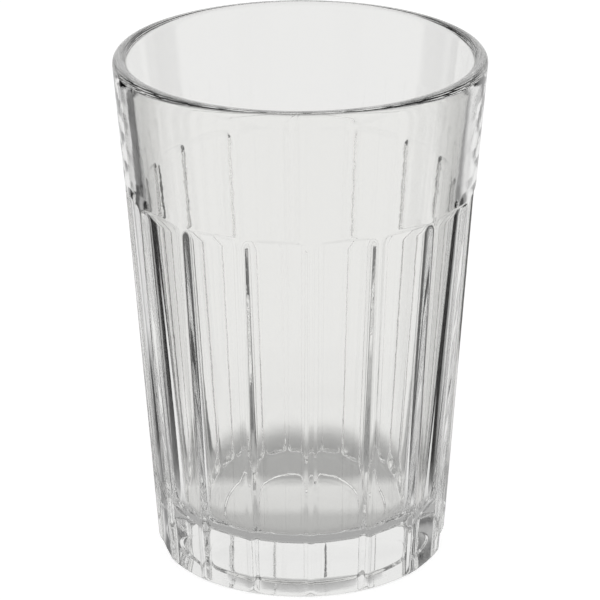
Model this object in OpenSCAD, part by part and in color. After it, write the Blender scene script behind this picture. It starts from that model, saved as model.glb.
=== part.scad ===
// Fluted drinking glass, pressed in one piece
// Millimetres, +Z up, origin at the centre of the foot on the table

/* [Overall] */
// Height from the table to the top of the rim
glass_h = 110; // [104:1:118]
// Outside diameter at the rim
rim_d = 77.5; // [75:0.5:82]
// Diameter over the ridges where their line meets the table
foot_d = 61.4; // [58:0.2:64]

/* [Wall and base] */
// Wall thickness at the rim, which is rounded over all of it
rim_wall = 3; // [2.4:0.1:3.6]
// Inside diameter at the cavity floor before its corner is rounded
cavity_d = 51; // [46:0.5:53]
// Thickness of the solid base from the table to the cavity floor
base_t = 10.5; // [9:0.5:15]
// Radius of the inside corner between wall and floor
cavity_corner_r = 6; // [3:0.5:9]
// Radius of the rounded edge around the foot
foot_edge_r = 2.4; // [1.4:0.1:3]
// Angle of the faint corner where the rounded edge meets the ridges
foot_edge_a = 12; // [8:1:20]

/* [Hollow under the base] */
// Diameter of the hollow at the table
hollow_d = 36; // [30:1:48]
// Height of the hollow
hollow_h = 0.5; // [0.3:0.1:1.2]
// Width of the sloping side of the hollow
hollow_side = 1.5; // [1:0.5:4]

/* [Smooth band at the lip] */
// Height of the band from its lower edge to the top of the rim
band_h = 27; // [22:0.5:32]
// Outside diameter at the lower edge of the band
band_d = 73.4; // [72.6:0.1:74]
// Distance that the ridges stand in from the band
ridge_step = 0.2; // [0.1:0.05:0.4]
// Height of the slope from the ridges out to the band
ridge_slope_h = 2; // [1.2:0.1:3]

/* [Flutes] */
// Number of flutes around the body
flute_count = 16; // [14:1:17]
// Radius of the hollow of a flute
flute_r = 40; // [30:5:120]
// Width of the ridge left between two flutes at their top
ridge_w = 1.2; // [0.8:0.1:1.8]
// Width of the same ridge at the table
ridge_foot_w = 1; // [0.7:0.1:1.5]
// Radius of the curve by which a flute runs out at its top
runout_r = 3.5; // [2.5:0.1:5]
// Distance of the flute tops below the band
flute_top_gap = 0.5; // [0.3:0.1:0.8]

/* [Hidden] */
$fn = 96;

// Rim: a half round between the outer and the inner wall
rim_r = rim_wall / 2;
rim_c = [rim_d / 2 - rim_r, glass_h - rim_r];

// Outer line: foot, ridges, slope and band
band_low = [band_d / 2, glass_h - band_h];
ridge_top = [band_low.x - ridge_step, band_low.y - ridge_slope_h];
ridge_a = atan2(ridge_top.y, ridge_top.x - foot_d / 2);
band_a = tangent_a(band_low, rim_c, -rim_r);
rim_out = rim_c + rim_r * [sin(band_a), -cos(band_a)];

// Inner line: cavity floor up to the rim
cavity_low = [cavity_d / 2, base_t];
wall_a = tangent_a(cavity_low, rim_c, rim_r);
rim_in = rim_c - rim_r * [sin(wall_a), -cos(wall_a)];

// Rounded corners, each between a level line and a wall
corner_c = round_c(cavity_low, wall_a, cavity_corner_r);
corner_wall = round_wall(corner_c, wall_a, cavity_corner_r);
foot_turn = round_wall([0, foot_edge_r], ridge_a - foot_edge_a, foot_edge_r);
foot_wall = [foot_d / 2 + foot_turn.y / tan(ridge_a), foot_turn.y];
foot_c = [foot_wall.x - foot_turn.x, foot_edge_r];

// Line along the middle of a flute, from the table to the top of the ridges
flute_pitch = 360 / flute_count;
flute_low_x = flute_x(foot_d / 2, ridge_foot_w);
flute_lean = atan2(flute_x(ridge_top.x, ridge_w) - flute_low_x, ridge_top.y);

// Run-out of a flute: its curve leaves the body at the flute top
flute_top = [band_low.x - ridge_step * flute_top_gap / ridge_slope_h, band_low.y - flute_top_gap];
flute_top_in = (flute_top.x - flute_low_x) * cos(flute_lean) - flute_top.y * sin(flute_lean);
flute_top_l = (flute_top.x - flute_low_x) * sin(flute_lean) + flute_top.y * cos(flute_lean);
runout_l = flute_top_l - sqrt(2 * runout_r * flute_top_in - pow(flute_top_in, 2));
foot_overrun = 4;

// Wedge that holds one flute, just clear of the next one's
wedge_clear_a = 0.1;
wedge_a = flute_pitch / 2 - wedge_clear_a;
wedge_reach = rim_d;

// Direction of the line from point p to a circle; r is positive when the circle lies right of the line
function tangent_a(p, c, r) = atan2(c.y - p.y, c.x - p.x) + asin(r / norm(c - p));
// Centre and wall point of a rounded corner at p, under a wall that rises at the angle a
function round_c(p, a, r) = [p.x - r * tan(a / 2), p.y + r];
function round_wall(c, a, r) = c + r * [sin(a), -cos(a)];

// Radius to the middle of a flute where the ridges lie at radius r and are w wide
function flute_x(r, w) = hollow_x(r, flute_pitch / 2 - asin(w / 2 / r));
function hollow_x(r, a) = r * cos(a) + sqrt(pow(flute_r, 2) - pow(r * sin(a), 2)) - flute_r;

// Corner of the foot outside its rounded edge
module foot_corner() {
  difference() {
    polygon([
      [foot_c.x, -foot_edge_r],
      [foot_d / 2 + foot_edge_r, -foot_edge_r],
      [foot_d / 2 + foot_edge_r, foot_wall.y],
      foot_wall,
      foot_c
    ]);
    translate(foot_c) circle(foot_edge_r);
  }
}

// Half section of the glass before the flutes
module section() {
  difference() {
    union() {
      polygon([
        [0, hollow_h],
        [hollow_d / 2 - hollow_side, hollow_h],
        [hollow_d / 2, 0],
        [foot_d / 2, 0],
        ridge_top,
        band_low,
        rim_out,
        rim_in,
        corner_wall,
        [corner_c.x, base_t],
        [0, base_t]
      ]);
      translate(rim_c) circle(rim_r);
    }
    translate(corner_c) circle(cavity_corner_r);
    foot_corner();
  }
}

// Half section of one flute cutter with its rounded top
module flute_section() {
  translate([0, -foot_overrun])
    square([flute_r, foot_overrun + runout_l]);
  square([flute_r - runout_r, runout_l + runout_r]);
  translate([flute_r - runout_r, runout_l])
    circle(runout_r);
}

// One flute cutter, leaning along the wall and kept to its wedge
module flute() {
  intersection() {
    translate([flute_low_x, 0, 0])
      rotate([0, flute_lean, 0])
        translate([flute_r, 0, 0])
          rotate_extrude()
            flute_section();
    translate([0, 0, -foot_overrun / 2])
      linear_extrude(glass_h)
        polygon([
          [0, 0],
          wedge_reach * [cos(wedge_a), -sin(wedge_a)],
          wedge_reach * [cos(wedge_a), sin(wedge_a)]
        ]);
  }
}

// The whole glass
module tumbler() {
  color([0.86, 0.91, 0.9, 0.5])
    difference() {
      rotate_extrude()
        section();
      for (i = [0 : flute_count - 1])
        rotate([0, 0, (i + 0.5) * flute_pitch])
          flute();
    }
}

tumbler();
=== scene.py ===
"""Pressed drinking glass with shallow flutes, a smooth lip band and a thick solid base."""
import math

import bpy
import numpy as np
from mathutils import Matrix, Vector


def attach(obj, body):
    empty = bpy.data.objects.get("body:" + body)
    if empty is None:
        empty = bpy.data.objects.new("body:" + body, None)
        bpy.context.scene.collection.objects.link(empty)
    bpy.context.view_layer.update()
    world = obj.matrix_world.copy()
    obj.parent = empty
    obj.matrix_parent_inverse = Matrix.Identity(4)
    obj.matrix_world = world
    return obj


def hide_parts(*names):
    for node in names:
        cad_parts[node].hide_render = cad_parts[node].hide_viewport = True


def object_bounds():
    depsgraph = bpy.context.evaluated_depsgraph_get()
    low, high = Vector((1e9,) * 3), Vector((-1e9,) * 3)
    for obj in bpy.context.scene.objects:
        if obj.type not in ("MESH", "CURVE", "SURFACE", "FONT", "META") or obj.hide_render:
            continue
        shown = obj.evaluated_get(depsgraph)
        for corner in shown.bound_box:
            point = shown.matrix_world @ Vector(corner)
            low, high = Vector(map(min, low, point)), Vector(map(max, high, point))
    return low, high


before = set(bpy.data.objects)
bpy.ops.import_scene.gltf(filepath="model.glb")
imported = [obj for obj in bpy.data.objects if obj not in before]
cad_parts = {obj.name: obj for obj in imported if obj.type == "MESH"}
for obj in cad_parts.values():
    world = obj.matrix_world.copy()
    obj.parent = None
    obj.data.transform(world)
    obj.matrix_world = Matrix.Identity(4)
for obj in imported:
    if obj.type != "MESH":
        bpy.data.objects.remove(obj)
cad_low, cad_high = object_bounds()

# Sizes of the glass, in metres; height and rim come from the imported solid
MM = 0.001
GLASS_H = cad_high.z - cad_low.z
RIM_R = min(-cad_low.x, -cad_low.y, cad_high.x, cad_high.y)
FOOT_R = 30.7 * MM
RIM_WALL = 3.0 * MM
CAVITY_R = 25.5 * MM
BASE_T = 10.5 * MM
CAVITY_CORNER_R = 6.0 * MM
FOOT_EDGE_R = 2.4 * MM
HOLLOW_R = 18.0 * MM
HOLLOW_H = 0.5 * MM
HOLLOW_SIDE = 1.5 * MM
BAND_H = 27.0 * MM
BAND_R = 36.7 * MM
RIDGE_STEP = 0.2 * MM
RIDGE_SLOPE_H = 2.0 * MM
FLUTE_COUNT = 16
FLUTE_D = 0.6 * MM
FLUTE_SIDE_W = 1.6 * MM
RIDGE_W = 1.2 * MM
RIDGE_FOOT_W = 1.0 * MM
RUNOUT_R = 3.5 * MM
FLUTE_TOP_GAP = 0.5 * MM
# Softening of the moulded edges between flutes and ridges
EDGE_SOFT = 0.2 * MM
# Share of its quarter circle that the run-out of a flute follows
RUNOUT_SHARE = 0.999

# Heights and radii that follow
RIM_ROUND_R = RIM_WALL / 2
RIM_Z = GLASS_H - RIM_ROUND_R
BAND_Z = GLASS_H - BAND_H
RIDGE_TOP_Z = BAND_Z - RIDGE_SLOPE_H
RIDGE_TOP_R = BAND_R - RIDGE_STEP
FLUTE_PITCH = 2 * math.pi / FLUTE_COUNT
FLUTE_TOP_Z = BAND_Z - FLUTE_TOP_GAP

# Directions in the section, in degrees from straight out towards up
OUT = 0.0
DOWN = -90.0
IN = 180.0

# Mesh density; columns crowd towards the ridges by a power above 1
COLUMNS_PER_FLUTE = 24
COLUMN_CROWDING = 1.6
BODY_ROWS = 40
RUNOUT_ROWS = 36
BAND_ROWS = 16
ARC_ROWS = 14
WALL_ROWS = 40
FLOOR_RINGS = 6

# Glass: colour left by one surface, bending of light, haze and the waves of pressing
GLASS_COLOUR = (0.962, 0.961, 0.95, 1.0)
GLASS_IOR = 1.52
HAZE_ROUGHNESS = 0.02
WAVE_SCALE = 260.0
WAVE_DETAIL = 3.0
WAVE_STRENGTH = 0.06
WAVE_H = 0.2 * MM

# Camera fitted to the photograph, which is square
SENSOR = 36.0
LENS = 220.32
CAMERA_DISTANCE = 775.9 * MM
CAMERA_AZIMUTH = -3.3
CAMERA_ELEVATION = 21.64
CAMERA_ROLL = -0.217
AIM_Z = 55.39 * MM
AIM_SIDE = -0.213 * MM

# Light of the studio: level by angle in degrees from straight ahead of the camera, left to right; the
# world shines with it, and the floor glows with it for the glass as painted studio light and shade
STUDIO_STOPS = [
    (-180, 0.9), (-87, 0.9), (-83, 0.02), (-62, 0.02), (-58, 0.4), (-53, 0.4), (-50, 0.02), (-41, 0.02),
    (-38, 0.86), (43, 0.86), (49, 0.3), (58, 0.3), (62, 0.02), (83, 0.02), (87, 0.9), (180, 0.9),
]
HALF_TURN = 180.0
# Ceiling: its level, and the upward parts of a direction between which it takes over from the studio
CEILING = 0.3
CEILING_FROM = 0.5
CEILING_FULL = 0.9

# Floor: half of its side, its place just below the foot, its colour and its own glow
FLOOR_HALF = 3.0
FLOOR_Z = -0.1 * MM
FLOOR_COLOUR = 0.6
FLOOR_GLOW = 0.78
# Painted shadow under the glass, with a brighter painted caustic patch just behind its axis: levels of
# the floor's glow for the glass, from front to back in millimetres
PAINTED_SHADOW_AND_CAUSTIC_STOPS = [(0, 0.38), (28, 0.4), (32, 0.66), (42, 0.72), (47, 0.33), (60, 0.33)]
UNDER_HALF = 30.0 * MM
# Distance from the axis at which the painted shadow and caustic under the glass have given way to the
# painted studio glow
UNDER_END = 2 * FOOT_R

# Bounces of light that the walls of the glass need
LIGHT_BOUNCES = 32
MIRROR_BOUNCES = 16


def flute_frame(z):
    """Half width of a flute and distance of its edges' chord from the axis, at height z."""
    ridge_r = FOOT_R + (RIDGE_TOP_R - FOOT_R) * z / RIDGE_TOP_Z
    ridge_w = RIDGE_FOOT_W + (RIDGE_W - RIDGE_FOOT_W) * z / RIDGE_TOP_Z
    half = FLUTE_PITCH / 2 - ridge_w / 2 / ridge_r
    return ridge_r * math.sin(half), ridge_r * math.cos(half)


FLUTE_TOP_DEPTH = BAND_R - flute_frame(FLUTE_TOP_Z)[1] + FLUTE_D
RUNOUT_Z = FLUTE_TOP_Z - math.sqrt(FLUTE_TOP_DEPTH * (2 * RUNOUT_R - FLUTE_TOP_DEPTH))


def plain_radius(z):
    """Outside radius over the ridges and the band at height z."""
    return np.interp(
        z,
        [0.0, RIDGE_TOP_Z, BAND_Z, RIM_Z],
        [FOOT_R, RIDGE_TOP_R, BAND_R, RIM_R],
    )


def flute_radius(angle, z):
    """Radius of the flute surface at an angle from the middle of its flute: flat, then hollow sides."""
    half_width, chord = flute_frame(z)
    across = chord * np.tan(angle)
    side = np.maximum(np.abs(across) - (half_width - FLUTE_SIDE_W), 0.0) / FLUTE_SIDE_W
    rise = np.clip(z - RUNOUT_Z, 0.0, RUNOUT_R * RUNOUT_SHARE)
    out = RUNOUT_R - np.sqrt(RUNOUT_R**2 - rise**2)
    return (chord - FLUTE_D * (1 - side**2)) / np.cos(angle) + out


def soft_min(a, b, width):
    """The smaller of two radii, with the corner between them rounded over the given width."""
    mix = np.clip(0.5 + 0.5 * (a - b) / width, 0.0, 1.0)
    return a * (1 - mix) + b * mix - width * mix * (1 - mix)


def outside_radius(angle, z):
    """Outside radius of the fluted body at an angle from the middle of a flute."""
    return soft_min(plain_radius(z), flute_radius(angle, z), EDGE_SOFT)


def arc(centre_r, centre_z, radius, start, end, count):
    """Points of an arc in the section, between two directions in degrees."""
    turn = np.radians(np.linspace(start, end, count))
    return [(centre_r + radius * math.cos(t), centre_z + radius * math.sin(t)) for t in turn]


def inside_section():
    """The section over the rim, down the inside wall and in towards the middle of the cavity floor."""
    rim_r = RIM_R - RIM_ROUND_R
    lean = math.atan2(RIM_R - RIM_WALL - CAVITY_R, RIM_Z - BASE_T)
    corner_z = BASE_T + CAVITY_CORNER_R
    corner_r = CAVITY_R + math.tan(lean) * CAVITY_CORNER_R - CAVITY_CORNER_R / math.cos(lean)
    lean_deg = math.degrees(lean)
    rim = arc(rim_r, RIM_Z, RIM_ROUND_R, OUT, IN - lean_deg, 2 * ARC_ROWS)
    corner = arc(corner_r, corner_z, CAVITY_CORNER_R, -lean_deg, DOWN, ARC_ROWS)
    top, low = rim[-1], corner[0]
    wall = [
        (top[0] + (low[0] - top[0]) * t, top[1] + (low[1] - top[1]) * t)
        for t in np.linspace(0.0, 1.0, WALL_ROWS)[1:-1]
    ]
    floor = [(corner[-1][0] * t, BASE_T) for t in np.linspace(1.0, 0.0, FLOOR_RINGS)[1:-1]]
    return rim[1:] + wall + corner + floor


def hollow_section():
    """The section under the base, from near the middle of the hollow out to its edge."""
    inner = HOLLOW_R - HOLLOW_SIDE
    rings = [(inner * t, HOLLOW_H) for t in np.linspace(0.0, 1.0, FLOOR_RINGS)[1:]]
    side = [
        (inner + HOLLOW_SIDE * t, HOLLOW_H * (0.5 + 0.5 * math.cos(math.pi * t)))
        for t in np.linspace(0.0, 1.0, ARC_ROWS)[1:]
    ]
    return rings + side


def column_angles():
    """Angles from the middle of a flute, closer together at the ridges."""
    t = np.linspace(-1.0, 1.0, COLUMNS_PER_FLUTE, endpoint=False)
    return np.sign(t) * (1 - (1 - np.abs(t)) ** COLUMN_CROWDING) * FLUTE_PITCH / 2


def outside_rings():
    """Rings from the flat foot up the outside to the rim, each an array of radii with its height."""
    phi = np.tile(column_angles(), FLUTE_COUNT)
    foot_flat = FOOT_R - FOOT_EDGE_R
    heights = np.concatenate([
        np.linspace(FOOT_EDGE_R, RUNOUT_Z - RUNOUT_R, BODY_ROWS),
        np.linspace(RUNOUT_Z - RUNOUT_R, BAND_Z + EDGE_SOFT, RUNOUT_ROWS)[1:],
        np.linspace(BAND_Z + EDGE_SOFT, RIM_Z, BAND_ROWS)[1:],
    ])
    rings = [(np.full(phi.shape, foot_flat), 0.0)]
    for turn in np.radians(np.linspace(DOWN, OUT, ARC_ROWS))[1:-1]:
        z = FOOT_EDGE_R * (1 + math.sin(turn))
        edge = foot_flat + FOOT_EDGE_R * math.cos(turn) + (plain_radius(z) - FOOT_R)
        rings.append((np.minimum(outside_radius(phi, z), edge), z))
    rings += [(outside_radius(phi, z), z) for z in heights]
    return rings


def build_glass():
    """One closed skin: hollow, foot, fluted outside, rim, inside wall and cavity floor."""
    count = FLUTE_COUNT * COLUMNS_PER_FLUTE
    middles = (np.arange(FLUTE_COUNT) + 0.5) * FLUTE_PITCH
    angles = (middles[:, None] + column_angles()[None, :]).ravel()
    rings = [(np.full(count, r), z) for r, z in hollow_section()]
    rings += outside_rings()
    rings += [(np.full(count, r), z) for r, z in inside_section()]
    side, front = np.sin(angles), -np.cos(angles)
    points = [(0.0, 0.0, HOLLOW_H)]
    for radii, z in rings:
        points += [(r * s, r * f, z) for r, s, f in zip(radii, side, front)]
    points.append((0.0, 0.0, BASE_T))
    last = len(points) - 1
    faces = []
    for i in range(count):
        j = (i + 1) % count
        faces.append((0, 1 + j, 1 + i))
        faces.append((last, last - count + i, last - count + j))
        for ring in range(len(rings) - 1):
            this = 1 + ring * count
            following = this + count
            faces.append((this + i, this + j, following + j, following + i))
    mesh = bpy.data.meshes.new("glass_tumbler")
    mesh.from_pydata(points, [], faces)
    mesh.polygons.foreach_set("use_smooth", [True] * len(mesh.polygons))
    mesh.update()
    glass = bpy.data.objects.new("glass_tumbler", mesh)
    bpy.context.scene.collection.objects.link(glass)
    return glass


def grey(level):
    """Opaque grey of a level."""
    return (level, level, level, 1.0)


def node_material(name):
    """A new material with an empty node tree, and the tree's nodes and links."""
    material = bpy.data.materials.new(name)
    material.use_nodes = True
    nodes = material.node_tree.nodes
    nodes.clear()
    return material, nodes, material.node_tree.links


def range_share(nodes, links, value, low, high, ease="LINEAR"):
    """Share of the way that a value has gone from low to high."""
    share = nodes.new("ShaderNodeMapRange")
    share.interpolation_type = ease
    share.inputs["From Min"].default_value = low
    share.inputs["From Max"].default_value = high
    links.new(value, share.inputs["Value"])
    return share.outputs["Result"]


def colour_mix(nodes, links, share, first):
    """Mix of two colours by a share; the caller sets or links the second, B."""
    mix = nodes.new("ShaderNodeMix")
    mix.data_type = "RGBA"
    links.new(share, mix.inputs["Factor"])
    links.new(first, mix.inputs["A"])
    return mix


def level_ramp(nodes, links, share, stops, span):
    """Grey levels along a ramp, each stop given by its place within the span."""
    ramp = nodes.new("ShaderNodeValToRGB")
    elements = ramp.color_ramp.elements
    while len(elements) < len(stops):
        elements.new(1.0)
    for element, (place, level) in zip(elements, stops):
        element.position = place / span
        element.color = grey(level)
    links.new(share, ramp.inputs["Fac"])
    return ramp.outputs["Color"]


def glass_material():
    """Clear soda-lime glass with the faint waves of pressing and a trace of surface haze."""
    material, nodes, links = node_material("clear_pressed_glass")
    output = nodes.new("ShaderNodeOutputMaterial")
    shader = nodes.new("ShaderNodeBsdfPrincipled")
    shader.inputs["Base Color"].default_value = GLASS_COLOUR
    shader.inputs["Transmission Weight"].default_value = 1.0
    shader.inputs["IOR"].default_value = GLASS_IOR
    coordinates = nodes.new("ShaderNodeTexCoord")
    waves = nodes.new("ShaderNodeTexNoise")
    waves.inputs["Scale"].default_value = WAVE_SCALE
    waves.inputs["Detail"].default_value = WAVE_DETAIL
    links.new(coordinates.outputs["Object"], waves.inputs["Vector"])
    haze = nodes.new("ShaderNodeMapRange")
    haze.inputs["To Min"].default_value = 0.0
    haze.inputs["To Max"].default_value = HAZE_ROUGHNESS
    links.new(waves.outputs["Fac"], haze.inputs["Value"])
    links.new(haze.outputs["Result"], shader.inputs["Roughness"])
    bump = nodes.new("ShaderNodeBump")
    bump.inputs["Strength"].default_value = WAVE_STRENGTH
    bump.inputs["Distance"].default_value = WAVE_H
    links.new(waves.outputs["Fac"], bump.inputs["Height"])
    links.new(bump.outputs["Normal"], shader.inputs["Normal"])
    links.new(shader.outputs["BSDF"], output.inputs["Surface"])
    return material


def studio_level(nodes, links, vector):
    """Level of the studio in a direction, and the direction's parts as turned to the camera."""
    turn = nodes.new("ShaderNodeMapping")
    turn.vector_type = "POINT"
    turn.inputs["Rotation"].default_value = (0.0, 0.0, math.radians(-CAMERA_AZIMUTH))
    links.new(vector, turn.inputs["Vector"])
    parts = nodes.new("ShaderNodeSeparateXYZ")
    links.new(turn.outputs["Vector"], parts.inputs["Vector"])
    angle = nodes.new("ShaderNodeMath")
    angle.operation = "ARCTAN2"
    links.new(parts.outputs["X"], angle.inputs[0])
    links.new(parts.outputs["Y"], angle.inputs[1])
    share = range_share(nodes, links, angle.outputs["Value"], -math.pi, math.pi)
    stops = [(HALF_TURN + degrees, level) for degrees, level in STUDIO_STOPS]
    return level_ramp(nodes, links, share, stops, 2 * HALF_TURN), parts


def floor_material():
    """Pale floor, white to the eye with the glass's soft shadow; for the glass it glows with painted
    studio light and shade, and a painted shadow and caustic patch under the glass.
    """
    material, nodes, links = node_material("pale_floor")
    output = nodes.new("ShaderNodeOutputMaterial")
    diffuse = nodes.new("ShaderNodeBsdfDiffuse")
    diffuse.inputs["Color"].default_value = grey(FLOOR_COLOUR)
    glow = nodes.new("ShaderNodeEmission")
    glow.inputs["Strength"].default_value = FLOOR_GLOW
    eye = nodes.new("ShaderNodeAddShader")
    links.new(diffuse.outputs["BSDF"], eye.inputs[0])
    links.new(glow.outputs["Emission"], eye.inputs[1])
    coordinates = nodes.new("ShaderNodeTexCoord")
    # Painted studio light and shade: the floor glows by the angle of its own points around the glass
    level, parts = studio_level(nodes, links, coordinates.outputs["Object"])
    distance = nodes.new("ShaderNodeVectorMath")
    distance.operation = "LENGTH"
    links.new(coordinates.outputs["Object"], distance.inputs[0])
    away = range_share(nodes, links, distance.outputs["Value"], FOOT_R, UNDER_END, "SMOOTHSTEP")
    depth = range_share(nodes, links, parts.outputs["Y"], -UNDER_HALF, UNDER_HALF)
    # Painted shadow and painted caustic patch on the floor under the glass, which only the glass sees
    painted_shadow_and_caustic = level_ramp(nodes, links, depth, PAINTED_SHADOW_AND_CAUSTIC_STOPS, 2 * UNDER_HALF / MM)
    painted_glow_colour = colour_mix(nodes, links, away, painted_shadow_and_caustic)
    links.new(level, painted_glow_colour.inputs["B"])
    # Painted glow that the glass sees in the floor, in place of the lit floor
    studio = nodes.new("ShaderNodeEmission")
    links.new(painted_glow_colour.outputs["Result"], studio.inputs["Color"])
    path = nodes.new("ShaderNodeLightPath")
    mix = nodes.new("ShaderNodeMixShader")
    links.new(path.outputs["Is Camera Ray"], mix.inputs["Fac"])
    links.new(studio.outputs["Emission"], mix.inputs[1])
    links.new(eye.outputs["Shader"], mix.inputs[2])
    links.new(mix.outputs["Shader"], output.inputs["Surface"])
    return material


def build_floor():
    """One large square just below the foot."""
    half = FLOOR_HALF
    mesh = bpy.data.meshes.new("floor")
    corners = [(-half, -half, 0.0), (half, -half, 0.0), (half, half, 0.0), (-half, half, 0.0)]
    mesh.from_pydata(corners, [], [(0, 1, 2, 3)])
    floor = bpy.data.objects.new("floor", mesh)
    floor.location.z = FLOOR_Z
    mesh.materials.append(floor_material())
    bpy.context.scene.collection.objects.link(floor)


def build_world():
    """The studio around the glass, white as the camera sees it, with a dimmer ceiling."""
    world = bpy.data.worlds.new("studio")
    bpy.context.scene.world = world
    world.use_nodes = True
    nodes, links = world.node_tree.nodes, world.node_tree.links
    nodes.clear()
    output = nodes.new("ShaderNodeOutputWorld")
    background = nodes.new("ShaderNodeBackground")
    coordinates = nodes.new("ShaderNodeTexCoord")
    level, parts = studio_level(nodes, links, coordinates.outputs["Generated"])
    overhead = range_share(nodes, links, parts.outputs["Z"], CEILING_FROM, CEILING_FULL, "SMOOTHSTEP")
    ceiling = colour_mix(nodes, links, overhead, level)
    ceiling.inputs["B"].default_value = grey(CEILING)
    path = nodes.new("ShaderNodeLightPath")
    white = colour_mix(nodes, links, path.outputs["Is Camera Ray"], ceiling.outputs["Result"])
    white.inputs["B"].default_value = grey(1.0)
    links.new(white.outputs["Result"], background.inputs["Color"])
    links.new(background.outputs["Background"], output.inputs["Surface"])


def build_camera():
    """The camera at the photograph's angle, aimed at a point near the middle of the glass."""
    azimuth, elevation = math.radians(CAMERA_AZIMUTH), math.radians(CAMERA_ELEVATION)
    right = Vector((math.cos(azimuth), math.sin(azimuth), 0.0))
    back = Vector((
        math.sin(azimuth) * math.cos(elevation),
        -math.cos(azimuth) * math.cos(elevation),
        math.sin(elevation),
    ))
    place = right * AIM_SIDE + Vector((0.0, 0.0, AIM_Z)) + back * CAMERA_DISTANCE
    look = back.to_track_quat("Z", "Y").to_matrix() @ Matrix.Rotation(math.radians(CAMERA_ROLL), 3, "Z")
    data = bpy.data.cameras.new("camera")
    data.sensor_width = SENSOR
    data.lens = LENS
    camera = bpy.data.objects.new("camera", data)
    camera.matrix_world = Matrix.Translation(place) @ look.to_4x4()
    bpy.context.scene.collection.objects.link(camera)
    bpy.context.scene.camera = camera


glass = build_glass()
glass.data.materials.append(glass_material())
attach(glass, "root")
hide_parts("tumbler")
build_floor()
build_world()
build_camera()

scene = bpy.context.scene
scene.view_settings.view_transform = "Standard"
scene.cycles.max_bounces = LIGHT_BOUNCES
scene.cycles.transmission_bounces = LIGHT_BOUNCES
scene.cycles.glossy_bounces = MIRROR_BOUNCES
